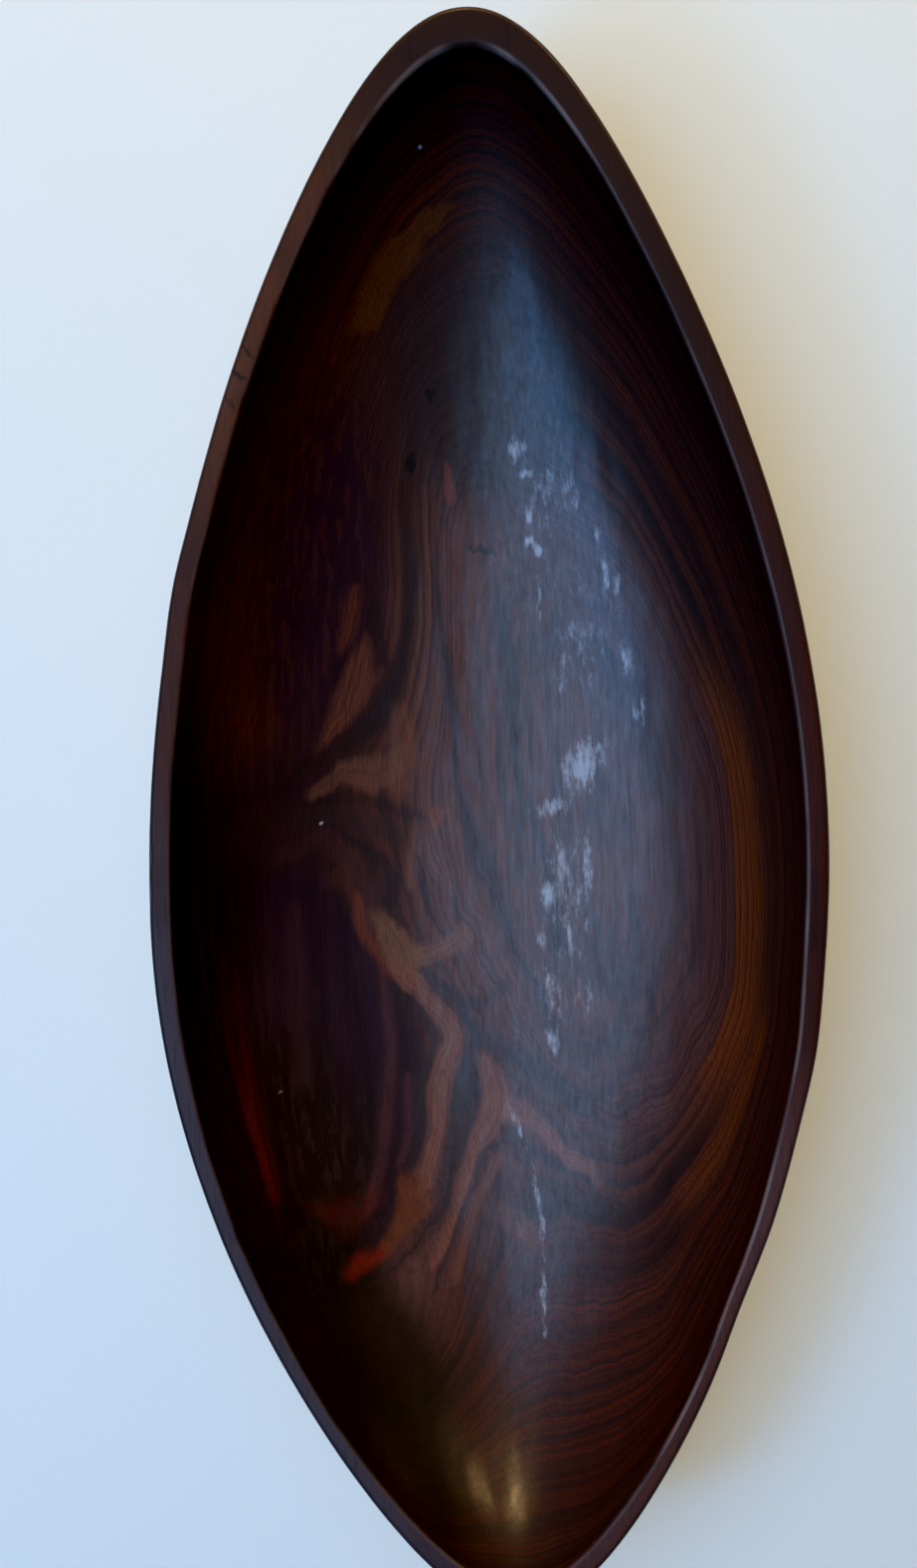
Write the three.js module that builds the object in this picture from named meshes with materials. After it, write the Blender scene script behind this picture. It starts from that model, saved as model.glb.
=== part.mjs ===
// A canoe bowl carved from one block of dark, figured wood.
// Millimetres, +Z up. +Y runs along the keel to the bow, which has the thicker rim, and +X is
// the right-hand side. The origin is under the middle of the bowl, on the table it stands on.
import * as THREE from "three";

// Plan of the rim, seen from above. Each side swells to its widest at its own place, and its
// flanks run from there to the tips: the higher a flank's exponent, the leaner the curve.
const length = 472;
const bowTipRadius = 22;
const sternTipRadius = 23.3;
const leftSide = {
  halfBreadth: 102.8,
  widestAt: -29,
  flank: { bow: 2.3, stern: 2.2 },
  rimWidth: { bowFlank: 6.7, widest: 6.7, sternFlank: 5.2 },
};
const rightSide = {
  halfBreadth: 99.7,
  widestAt: -8,
  flank: { bow: 2.7, stern: 2.2 },
  rimWidth: { bowFlank: 8.5, widest: 7.4, sternFlank: 5 },
};
const bowRimWidth = 12.5;
const sternRimWidth = 7;

// Heights above the table: the rim amidships, its climb to both tips, and the wood under the cavity.
const midRimHeight = 80;
const endRise = 6;
const floorThickness = 11;

// Rounding of the two edges of the rim's flat top.
const outerEdgeRadius = 2;
const innerEdgeRadius = 1.5;
const bowInnerEdgeRadius = 3;

// Breadth of the flat that is planed under the belly for the bowl to stand on.
const footBreadth = 70;

// Exponents of the curves from keel to rim: 2 is an ellipse, and more is fuller.
const hullFullness = { side: 2.35, end: 2.0 };
const cavityFullness = { side: 2.2, end: 1.95 };

// Facets round the rim, up the hull, down the cavity and over each rounded edge.
const aroundSteps = 104;
const hullSteps = 11;
const cavitySteps = 13;
const edgeSteps = 3;

const quarterTurn = Math.PI / 2;
const lerp = THREE.MathUtils.lerp;

// A turn is 0 at the widest place on the right, a quarter at the bow, and goes on round to the
// left and the stern.
function sideAt(turn) {
  return Math.cos(turn) >= 0 ? rightSide : leftSide;
}

// One point of the rim's outer edge.
function outerEdge(turn) {
  const side = sideAt(turn);
  const towardsBow = Math.sin(turn) >= 0;
  const reach = length / 2 - (towardsBow ? side.widestAt : -side.widestAt);
  const flank = towardsBow ? side.flank.bow : side.flank.stern;
  const tipRadius = towardsBow ? bowTipRadius : sternTipRadius;
  const bluntness = (tipRadius * reach) / side.halfBreadth ** 2;
  const across = Math.cos(turn) ** 2;
  const breadthShare = Math.sqrt(bluntness * across + (1 - bluntness) * across ** flank);
  const x = side.halfBreadth * breadthShare * (side === rightSide ? 1 : -1);
  return new THREE.Vector2(x, side.widestAt + reach * Math.sin(turn));
}

// The outer edge moved square to itself, towards the inside of the bowl.
function insetEdge(turn, distance) {
  const nudge = 0.002;
  const along = outerEdge(turn + nudge).sub(outerEdge(turn - nudge)).normalize();
  const inward = new THREE.Vector2(-along.y, along.x);
  return outerEdge(turn).addScaledVector(inward, distance);
}

// How close a turn is to a tip: 0 along the sides, rising steeply to 1 at the tip itself.
function tipShare(turn) {
  return Math.sin(turn) ** 10;
}

function rimWidth(turn) {
  const side = sideAt(turn);
  const towardsBow = Math.sin(turn) >= 0;
  const flankWidth = towardsBow ? side.rimWidth.bowFlank : side.rimWidth.sternFlank;
  const tipWidth = towardsBow ? bowRimWidth : sternRimWidth;
  const sideWidth = lerp(side.rimWidth.widest, flankWidth, Math.sin(2 * turn) ** 2);
  return lerp(sideWidth, tipWidth, tipShare(turn));
}

// The sheer: the rim climbs a little towards both tips, as on a canoe.
function rimHeight(edge) {
  return midRimHeight + endRise * (edge.y / (length / 2)) ** 2;
}

function outerRadius(turn) {
  return Math.min(outerEdgeRadius, rimWidth(turn) / 2);
}

function innerRadius(turn) {
  const tipRadius = Math.sin(turn) >= 0 ? bowInnerEdgeRadius : innerEdgeRadius;
  return Math.min(lerp(innerEdgeRadius, tipRadius, tipShare(turn)), rimWidth(turn) / 2);
}

function fullnessAt(fullness, turn) {
  return lerp(fullness.side, fullness.end, Math.sin(turn) ** 2);
}

// How far the hull's own curve would hang below the table if the foot weren't planed flat.
const footShare = footBreadth / (leftSide.halfBreadth + rightSide.halfBreadth);
const footDepthShare = (1 - footShare ** hullFullness.side) ** (1 / hullFullness.side);
const bellyCut = (midRimHeight - outerEdgeRadius) * (1 / footDepthShare - 1);

// From the foot's edge, at climb 0, up the outside to just under the rim, at climb 1.
function hullPoint(turn, climb) {
  const edge = outerEdge(turn);
  const top = rimHeight(edge) - outerRadius(turn);
  const fullness = fullnessAt(hullFullness, turn);
  const footSweep = Math.acos((bellyCut === 0 ? 1 : top / (top + bellyCut)) ** (fullness / 2));
  const sweep = lerp(footSweep, quarterTurn, climb);
  const out = Math.sin(sweep) ** (2 / fullness);
  const below = Math.abs(Math.cos(sweep)) ** (2 / fullness);
  const z = climb === 0 ? 0 : top - (top + bellyCut) * below;
  return new THREE.Vector3(edge.x * out, edge.y * out, z);
}

// From just under the rim, at drop 0, down the inside to the middle of the floor, at drop 1.
function cavityPoint(turn, drop) {
  const edge = insetEdge(turn, rimWidth(turn));
  const top = rimHeight(edge) - innerRadius(turn);
  const fullness = fullnessAt(cavityFullness, turn);
  const sweep = quarterTurn * (1 - drop);
  const out = Math.sin(sweep) ** (2 / fullness);
  const below = Math.abs(Math.cos(sweep)) ** (2 / fullness);
  const z = top - (top - floorThickness) * below;
  return new THREE.Vector3(edge.x * out, edge.y * out, z);
}

// The rim's two rounded edges, each from roll 0 to roll 1 in the order of a trip over the rim.
function outerRoll(turn, roll) {
  const radius = outerRadius(turn);
  const edge = insetEdge(turn, radius * (1 - Math.cos(roll * quarterTurn)));
  const z = rimHeight(edge) - radius * (1 - Math.sin(roll * quarterTurn));
  return new THREE.Vector3(edge.x, edge.y, z);
}

function innerRoll(turn, roll) {
  const radius = innerRadius(turn);
  const edge = insetEdge(turn, rimWidth(turn) - radius * (1 - Math.sin(roll * quarterTurn)));
  const z = rimHeight(edge) - radius * (1 - Math.cos(roll * quarterTurn));
  return new THREE.Vector3(edge.x, edge.y, z);
}

// One ring of points round the bowl for each step of a curve.
function rings(pointAt, steps, first, last) {
  return Array.from({ length: last - first + 1 }, (_, ring) =>
    Array.from({ length: aroundSteps }, (_, i) =>
      pointAt((i / aroundSteps) * 4 * quarterTurn, (first + ring) / steps),
    ),
  );
}

// A closed skin over rings, with one point in the middle of the first ring and of the last.
function closedSkin(startPoint, skinRings, endPoint) {
  const points = [startPoint, ...skinRings.flat(), endPoint];
  const lastPoint = points.length - 1;
  const lastRing = skinRings.length - 1;
  const at = (ring, i) => 1 + ring * aroundSteps + (i % aroundSteps);
  const faces = [];
  for (let i = 0; i < aroundSteps; i++) {
    faces.push(0, at(0, i + 1), at(0, i));
    for (let ring = 0; ring < lastRing; ring++) {
      faces.push(at(ring, i), at(ring, i + 1), at(ring + 1, i + 1));
      faces.push(at(ring, i), at(ring + 1, i + 1), at(ring + 1, i));
    }
    faces.push(lastPoint, at(lastRing, i), at(lastRing, i + 1));
  }
  const skin = new THREE.BufferGeometry().setFromPoints(points);
  skin.setIndex(faces);
  skin.computeVertexNormals();
  return skin;
}

// Foot, hull, over the rim, and down the cavity to the middle of its floor.
function bowlGeometry() {
  const footCentre = new THREE.Vector3(0, 0, 0);
  const floorCentre = new THREE.Vector3(0, 0, floorThickness);
  const skinRings = [
    ...rings(hullPoint, hullSteps, 0, hullSteps - 1),
    ...rings(outerRoll, edgeSteps, 0, edgeSteps),
    ...rings(innerRoll, edgeSteps, 0, edgeSteps),
    ...rings(cavityPoint, cavitySteps, 1, cavitySteps - 1),
  ];
  return closedSkin(footCentre, skinRings, floorCentre);
}

const oiledWood = new THREE.MeshStandardMaterial({
  color: 0x3a1a10,
  roughness: 0.38,
  metalness: 0,
});
const bowl = new THREE.Mesh(bowlGeometry(), oiledWood);
bowl.name = "bowl";
bowl.position.x = (leftSide.halfBreadth - rightSide.halfBreadth) / 2;

const canoeBowl = new THREE.Group();
canoeBowl.add(bowl);

export default canoeBowl;
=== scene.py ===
# Canoe bowl: a long dugout bowl of dark figured wood, standing on its foot.
# Metres, +Z up, bow towards +Y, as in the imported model.
import math

import bpy
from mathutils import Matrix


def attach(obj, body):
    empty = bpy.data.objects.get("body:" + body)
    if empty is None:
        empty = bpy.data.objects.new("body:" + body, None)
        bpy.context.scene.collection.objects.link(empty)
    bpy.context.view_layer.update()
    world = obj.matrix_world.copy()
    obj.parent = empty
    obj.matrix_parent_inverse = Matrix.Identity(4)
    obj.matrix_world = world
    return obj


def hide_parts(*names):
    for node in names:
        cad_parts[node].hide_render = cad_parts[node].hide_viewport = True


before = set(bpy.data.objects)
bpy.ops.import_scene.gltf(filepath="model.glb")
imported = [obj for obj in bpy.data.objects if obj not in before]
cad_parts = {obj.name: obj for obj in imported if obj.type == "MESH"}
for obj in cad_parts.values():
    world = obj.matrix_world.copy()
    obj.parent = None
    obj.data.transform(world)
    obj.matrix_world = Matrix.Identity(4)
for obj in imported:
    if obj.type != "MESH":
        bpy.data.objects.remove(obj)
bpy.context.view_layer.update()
print("frame loaded")

scene = bpy.context.scene
mm = 0.001
far = 1e6  # a reach so long that a direction doesn't count


class Wire:
    # one output socket of a node, with Python's operators

    def __init__(self, tree, socket=None):
        self.tree = tree
        self.socket = socket

    def node(self, kind, settings=None, values=None, output=0):
        made = self.tree.nodes.new(kind)
        for name, setting in (settings or {}).items():
            if name == "stops":
                fillRamp(made.color_ramp, setting)
            elif name == "between":
                made.color_ramp.interpolation = setting
            else:
                setattr(made, name, setting)
        for name, value in (values or {}).items():
            if isinstance(value, Wire):
                self.tree.links.new(value.socket, made.inputs[name])
            else:
                made.inputs[name].default_value = value
        return Wire(self.tree, made.outputs[output])

    def math(self, operation, *others):
        sockets = dict(enumerate((self, *others)))
        return self.node("ShaderNodeMath", {"operation": operation}, sockets)

    def __add__(self, other):
        return self.math("ADD", other)

    def __sub__(self, other):
        return self.math("SUBTRACT", other)

    def __mul__(self, other):
        return self.math("MULTIPLY", other)

    def __truediv__(self, other):
        return self.math("DIVIDE", other)

    def __pow__(self, other):
        return self.math("POWER", other)

    def __rsub__(self, other):
        return self.node("ShaderNodeMath", {"operation": "SUBTRACT"}, {0: other, 1: self})

    def __rtruediv__(self, other):
        return self.node("ShaderNodeMath", {"operation": "DIVIDE"}, {0: other, 1: self})

    def __neg__(self):
        return self * -1.0

    __radd__ = __add__
    __rmul__ = __mul__

    def parts(self):
        # the x, y and z of a vector
        split = self.tree.nodes.new("ShaderNodeSeparateXYZ")
        self.tree.links.new(self.socket, split.inputs[0])
        return [Wire(self.tree, out) for out in split.outputs]

    def vector(self, operation, *others):
        sockets = dict(enumerate((self, *others)))
        output = "Value" if operation == "DOT_PRODUCT" else "Vector"
        return self.node("ShaderNodeVectorMath", {"operation": operation}, sockets, output)

    def to(self, end, share):
        # a straight run from this value, at share 0, to end, at share 1
        return self + (end - self) * share


def point(x, y, z):
    wired = next(v for v in (x, y, z) if isinstance(v, Wire))
    return wired.node("ShaderNodeCombineXYZ", {}, {0: x, 1: y, 2: z})


def fade(value, low, high):
    # 0 up to low, 1 from high on, and smooth between them
    return value.node(
        "ShaderNodeMapRange",
        {"interpolation_type": "SMOOTHSTEP", "clamp": False},  # this curve stays within its ends by itself
        {"Value": value, "From Min": low, "From Max": high, "To Min": 0.0, "To Max": 1.0},
    )


def fillRamp(ramp, stops):
    ramp.elements[0].position = stops[0][0]
    ramp.elements[-1].position = stops[-1][0]
    for place, _ in stops[1:-1]:
        ramp.elements.new(place)
    for element, (_, colour) in zip(ramp.elements, stops):
        element.color = (*colour, 1.0)


bowlSizes = {
    "Length": 472 * mm,
    "Bow tip radius": 22 * mm,
    "Stern tip radius": 23.3 * mm,
    "Left half breadth": 102.8 * mm,
    "Left widest at": -29 * mm,
    "Left bow flank": 2.3,
    "Left stern flank": 2.2,
    "Left rim": 6.7 * mm,
    "Left bow rim": 6.7 * mm,
    "Left stern rim": 5.2 * mm,
    "Right half breadth": 99.7 * mm,
    "Right widest at": -8 * mm,
    "Right bow flank": 2.7,
    "Right stern flank": 2.2,
    "Right rim": 7.4 * mm,
    "Right bow rim": 8.5 * mm,
    "Right stern rim": 5 * mm,
    "Bow rim": 12.5 * mm,
    "Stern rim": 7 * mm,
    "Rim height": 80 * mm,
    "End rise": 6 * mm,
    "Floor thickness": 11 * mm,
    "Outer edge radius": 2 * mm,
    "Inner edge radius": 1.5 * mm,
    "Bow inner edge radius": 3 * mm,
    "Foot breadth": 70 * mm,
    "Hull side fullness": 2.35,
    "Hull end fullness": 2.0,
    "Hollow side fullness": 2.2,
    "Hollow end fullness": 1.95,
    "Left swell": 0.9 * mm,
    "Left swell at": 68 * mm,
    "Right swell": 0.8 * mm,
    "Right swell at": -75 * mm,
    "Right flat": -1.0 * mm,
    "Right flat at": -150 * mm,
    "Swell reach": 17 * mm,
    "Hollow ripple": 0.22 * mm,
    "Hull ripple": 0.35 * mm,
    "Ripple across": 15 * mm,
    "Ripple along": 46 * mm,
    "Rim wear": 0.14 * mm,
    "Nick depth": 0.7 * mm,
    "Seed": 7.0,
    "Steps around": 800,
}

# rings of points from the middle of the foot, over the rim, to the middle of the floor
profileRings = {"foot": 6, "hull": 30, "outerEdge": 6, "rim": 3, "innerEdge": 6, "hollow": 58}

# numbers of the shape that aren't sizes of the bowl
shaping = {
    "nudge": 0.002,  # turn between two points that give the edge's direction
    "tip": 10.0,  # how suddenly the rim's width changes at the tips
    "snap": -0.00001,  # keeps the seam's two ends on one side
    "weld": 0.00001,
    "hullRippleRun": 0.7,
    "rimWearRun": 0.6,
    "ripplePeak": 4.0,
}

# small knocks in the rim: position, reach and share of the nick depth, millimetres
nicks = (
    ((-67.0, 121.0), (2.6, 3.6), 1.0),
    ((-77.0, -124.5), (2.4, 3.4), 0.9),
    ((-100.5, -10.5), (2.0, 3.2), 0.7),
    ((-101.0, -22.0), (1.8, 3.0), 0.6),
    ((66.0, -128.0), (2.2, 3.0), 0.5),
)


def bowlTree(sizes, rings, wood):
    tree = bpy.data.node_groups.new("Bowl shape", "GeometryNodeTree")
    tree.is_modifier = True
    socketIds = {}
    for name, value in sizes.items():
        kind = "NodeSocketInt" if isinstance(value, int) else "NodeSocketFloat"
        item = tree.interface.new_socket(name=name, in_out="INPUT", socket_type=kind)
        socketIds[name] = item.identifier
    tree.interface.new_socket(name="Geometry", in_out="OUTPUT", socket_type="NodeSocketGeometry")
    given = tree.nodes.new("NodeGroupInput")
    size = {name: Wire(tree, given.outputs[name]) for name in sizes}
    start = Wire(tree)

    ringCount = sum(rings.values()) + 1
    pointsAround = size["Steps around"] + 1
    grid = start.node(
        "GeometryNodeMeshGrid",
        values={"Size X": 1.0, "Size Y": 1.0, "Vertices X": pointsAround, "Vertices Y": ringCount},
    )
    acrossGrid, upGrid, _ = start.node("GeometryNodeInputPosition").parts()
    turn = (acrossGrid + 0.5) * math.tau
    ring = ((upGrid + 0.5) * (ringCount - 1)).math("ROUND")

    def choose(condition, yes, no):
        return start.node(
            "GeometryNodeSwitch", {"input_type": "FLOAT"}, {"Switch": condition, "False": no, "True": yes}
        )

    def byEnd(turn, bow, stern):
        return choose(turn.math("SINE").math("GREATER_THAN", shaping["snap"]), bow, stern)

    def bySide(turn, left, right):
        return choose(turn.math("COSINE").math("GREATER_THAN", shaping["snap"]), right, left)

    def ofSide(turn, what):
        return bySide(turn, size["Left " + what], size["Right " + what])

    def ofQuarter(turn, what):
        return byEnd(turn, ofSide(turn, "bow " + what), ofSide(turn, "stern " + what))

    def outerEdge(turn):
        # one point of the rim's outer edge, seen from above
        halfBreadth = ofSide(turn, "half breadth")
        widestAt = ofSide(turn, "widest at")
        reach = size["Length"] / 2 - widestAt * byEnd(turn, 1.0, -1.0)
        flank = ofQuarter(turn, "flank")
        tipRadius = byEnd(turn, size["Bow tip radius"], size["Stern tip radius"])
        bluntness = tipRadius * reach / (halfBreadth * halfBreadth)
        across = turn.math("COSINE") ** 2.0
        share = (bluntness * across + (1 - bluntness) * across ** flank).math("SQRT")
        x = halfBreadth * share * bySide(turn, -1.0, 1.0)
        return point(x, widestAt + reach * turn.math("SINE"), 0.0)

    edge = outerEdge(turn)
    nudge = shaping["nudge"]
    along = outerEdge(turn + nudge).vector("SUBTRACT", outerEdge(turn - nudge)).vector("NORMALIZE")
    alongX, alongY, _ = along.parts()
    inward = point(-alongY, alongX, 0.0)

    # the rim's width and the radii of its two edges
    tipShare = turn.math("SINE") ** shaping["tip"]
    sideWidth = ofSide(turn, "rim")
    flankWidth = ofQuarter(turn, "rim")
    flankShare = (turn * 2.0).math("SINE") ** 2.0
    tipWidth = byEnd(turn, size["Bow rim"], size["Stern rim"])
    rimWidth = sideWidth.to(flankWidth, flankShare).to(tipWidth, tipShare)

    # where the carver's line strays outwards or inwards
    _, edgeAlong, _ = edge.parts()

    def stray(what):
        away = (edgeAlong - size[what + " at"]) / size["Swell reach"]
        return (away * away * -1.0).math("EXPONENT") * size[what]

    strayed = bySide(turn, stray("Left swell"), stray("Right swell") + stray("Right flat"))
    outerRadius = size["Outer edge radius"].math("MINIMUM", rimWidth / 2)
    tipInner = byEnd(turn, size["Bow inner edge radius"], size["Inner edge radius"])
    innerRadius = size["Inner edge radius"].to(tipInner, tipShare).math("MINIMUM", rimWidth / 2)

    # rings are counted up through the foot, hull, rim and hollow
    starts = {}
    count = 0
    for name, steps in rings.items():
        starts[name] = count
        count += steps

    def shareOf(name):
        return (ring - float(starts[name])) / float(rings[name])

    def byPart(foot, **others):
        # the value for the part of the skin that a ring is in, from the foot up and in to the hollow
        value = foot
        for name, ofPart in others.items():
            value = choose(ring.math("GREATER_THAN", starts[name] - 0.5), ofPart, value)
        return value

    quarter = math.pi / 2
    outerRoll = shareOf("outerEdge") * quarter
    innerRoll = shareOf("innerEdge") * quarter
    outerInset = outerRadius * (1 - outerRoll.math("COSINE"))
    innerInset = rimWidth - innerRadius * (1 - innerRoll.math("SINE"))
    flatInset = outerRadius.to(rimWidth - innerRadius, shareOf("rim"))
    inset = byPart(0.0, outerEdge=outerInset, rim=flatInset, innerEdge=innerInset, hollow=rimWidth)
    shift = inward.node("ShaderNodeVectorMath", {"operation": "SCALE"}, {0: inward, "Scale": inset - strayed})
    edgeX, edgeY, _ = edge.vector("ADD", shift).parts()
    halfLength = size["Length"] / 2
    rimHeight = size["Rim height"] + size["End rise"] * (edgeY / halfLength) ** 2.0

    # hull and hollow are superellipses from keel to rim
    endShare = turn.math("SINE") ** 2.0
    hullFullness = size["Hull side fullness"].to(size["Hull end fullness"], endShare)
    hollowFullness = size["Hollow side fullness"].to(size["Hollow end fullness"], endShare)
    footShare = size["Foot breadth"] / (size["Left half breadth"] + size["Right half breadth"])
    sideFullness = size["Hull side fullness"]
    footDepth = (1 - footShare ** sideFullness) ** (1 / sideFullness)
    bellyCut = (size["Rim height"] - size["Outer edge radius"]) * (1 / footDepth - 1)

    hullTop = rimHeight - outerRadius
    depth = hullTop + bellyCut
    footSweep = ((hullTop / depth) ** (hullFullness / 2)).math("ARCCOSINE")
    hullSweep = footSweep.to(quarter, shareOf("hull").math("MAXIMUM", 0.0).math("MINIMUM", 1.0))
    hullOut = hullSweep.math("SINE") ** (2 / hullFullness)
    hullZ = hullTop - depth * hullSweep.math("COSINE").math("ABSOLUTE") ** (2 / hullFullness)
    footOut = footSweep.math("SINE") ** (2 / hullFullness) * shareOf("foot")

    hollowTop = rimHeight - innerRadius
    hollowSweep = (1 - shareOf("hollow").math("MINIMUM", 1.0)).math("MAXIMUM", 0.0) * quarter
    hollowOut = hollowSweep.math("SINE") ** (2 / hollowFullness)
    hollowCosine = hollowSweep.math("COSINE").math("ABSOLUTE") ** (2 / hollowFullness)
    hollowZ = hollowTop - (hollowTop - size["Floor thickness"]) * hollowCosine

    out = byPart(footOut, hull=hullOut, outerEdge=1.0, hollow=hollowOut)
    z = byPart(
        0.0,
        hull=hullZ.math("MAXIMUM", 0.0),
        outerEdge=rimHeight - outerRadius * (1 - outerRoll.math("SINE")),
        rim=rimHeight,
        innerEdge=rimHeight - innerRadius * (1 - innerRoll.math("COSINE")),
        hollow=hollowZ,
    )
    keelX = (size["Left half breadth"] - size["Right half breadth"]) / 2
    rimRings = rings["outerEdge"] + rings["rim"] + rings["innerEdge"]
    overRim = (ring - float(starts["outerEdge"])) / float(rimRings)
    marked = start.node(
        "GeometryNodeStoreNamedAttribute",
        {"data_type": "FLOAT", "domain": "POINT"},
        {"Geometry": grid, "Name": "overRim", "Value": overRim.math("MAXIMUM", 0.0).math("MINIMUM", 1.0)},
    )
    shaped = start.node(
        "GeometryNodeSetPosition",
        values={"Geometry": marked, "Position": point(edgeX * out + keelX, edgeY * out, z)},
    )
    closed = start.node(
        "GeometryNodeMergeByDistance", values={"Geometry": shaped, "Distance": shaping["weld"]}
    )

    # the marks of the tools: ripples in the hollow and on the hull, and wear and nicks on the rim
    here = start.node("GeometryNodeInputPosition")
    _, _, high = here.parts()
    facing = start.node("GeometryNodeInputNormal", output="Normal")
    rimPlace = start.node(
        "GeometryNodeInputNamedAttribute", {"data_type": "FLOAT"}, {"Name": "overRim"}, output="Attribute"
    )

    def waves(across, along, offset):
        stretched = here.vector("DIVIDE", point(across, along, across))
        moved = stretched.vector("ADD", point(size["Seed"] + offset, 0.0, 0.0))
        return start.node(
            "ShaderNodeTexNoise", {}, {"Vector": moved, "Scale": 1.0, "Detail": 2.0, "Roughness": 0.5}
        )

    inHollow = fade(rimPlace, 0.7, 1.0)
    onHull = fade(rimPlace, 0.3, 0.0) * fade(high, 0.5 * mm, 8.0 * mm)
    onRim = 1 - inHollow - fade(rimPlace, 0.3, 0.0)
    hollowWaves = waves(size["Ripple across"], size["Ripple along"], 0.0) - 0.5
    hullWaves = waves(size["Ripple across"], size["Ripple along"] * shaping["hullRippleRun"], 20.0)
    rimRun = shaping["rimWearRun"]
    rimWaves = waves(size["Ripple across"] * rimRun, size["Ripple across"] * rimRun, 40.0)
    lift = hollowWaves * inHollow * size["Hollow ripple"] * shaping["ripplePeak"]
    lift = lift - hullWaves * onHull * size["Hull ripple"] - rimWaves * onRim * size["Rim wear"]
    for at, reach, share in nicks:
        near = here.vector("SUBTRACT", (at[0] * mm, at[1] * mm, 0.0))
        near = near.vector("DIVIDE", (reach[0] * mm, reach[1] * mm, far))
        lift = lift - (near.vector("DOT_PRODUCT", near) * -1.0).math("EXPONENT") * (
            (1 - fade(rimPlace, 0.9, 1.0)) * fade(rimPlace, 0.0, 0.1) * size["Nick depth"] * share
        )
    worn = start.node(
        "GeometryNodeSetPosition",
        values={
            "Geometry": closed,
            "Offset": facing.node("ShaderNodeVectorMath", {"operation": "SCALE"}, {0: facing, "Scale": lift}),
        },
    )
    smooth = start.node("GeometryNodeSetShadeSmooth", values={"Geometry": worn, "Shade Smooth": True})
    solid = start.node("GeometryNodeRealizeInstances", values={"Geometry": smooth})
    painted = start.node("GeometryNodeSetMaterial", values={"Geometry": solid, "Material": wood})
    end = tree.nodes.new("NodeGroupOutput")
    tree.links.new(painted.socket, end.inputs["Geometry"])
    return tree, socketIds


def grown(name, tree, values, socketIds):
    # runs the tree on an empty mesh and keeps what it makes as a plain mesh
    piece = bpy.data.objects.new(name, bpy.data.meshes.new(name + " seed"))
    scene.collection.objects.link(piece)
    modifier = piece.modifiers.new("Shape", "NODES")
    modifier.node_group = tree
    for label, value in values.items():
        modifier[socketIds[label]] = value
    seen = piece.evaluated_get(bpy.context.evaluated_depsgraph_get())
    plain = bpy.data.meshes.new_from_object(seen)
    piece.modifiers.remove(modifier)
    piece.data = plain
    plain.name = name
    return piece


# The growth layers of the tree, as a height in millimetres that is the same all over one layer.
# Dips are where the layers sag under the hollow, which is what draws the eyes on its walls.
growth = {
    "lean": -0.25,  # climb of the layers towards the left, per millimetre
    "rake": -0.03,  # climb towards the stern
    "twist": 0.001,  # change of the lean along the keel
    "dips": {
        "left eye, fore": {"at": (-82, -58), "reach": (36, 62), "turn": 8, "depth": 46},
        "left eye, aft": {"at": (-62, -126), "reach": (30, 48), "turn": 18, "depth": 32},
        "left eye, lowest": {"at": (-48, -150), "reach": (34, 36), "turn": 30, "depth": 17},
        "stern, left side": {"at": (-38, -192), "reach": (30, 56), "depth": 42},
        "ridge between the eyes": {"at": (-20, -75), "reach": (14, 55), "turn": 14, "depth": -2.5},
        "foot of the ridge": {"at": (-14, -120), "reach": (18, 34), "turn": 14, "depth": 7},
        "left shoulder": {"at": (-62, 12), "reach": (24, 24), "depth": 7},
        "left flank": {"at": (-22, 62), "reach": (14, 45), "depth": -4},
        "fore floor": {"at": (-8, 105), "reach": (20, 40), "depth": 4},
    },
    # across, along and height of the waves in the layers
    "wander": ((36, 130, 2.2), (12, 60, 0.7), (3.5, 20, 0.22)),
    "curl": ((15, 18, 2.2), (6, 9, 1.1)),
    # where the layers curl most, and half as much
    "curled": {"at": (-6, -90), "reach": (30, 58), "turn": 8},
    "halfCurled": {"at": (28, -160), "reach": (34, 36)},
}

# colour of the wood by growth layer, from 0 to 100 mm
heartwood = [
    (0.00, (0.063, 0.0255, 0.023)),
    (0.08, (0.059, 0.0235, 0.021)),
    (0.13, (0.05, 0.016, 0.014)),
    (0.18, (0.044, 0.0112, 0.0064)),
    (0.26, (0.042, 0.008, 0.0036)),
    (0.34, (0.04, 0.0066, 0.0026)),
    (0.46, (0.034, 0.0048, 0.002)),
    (0.56, (0.025, 0.0036, 0.0019)),
    (0.7, (0.026, 0.0055, 0.003)),
    (1.00, (0.032, 0.007, 0.004)),
]

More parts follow.
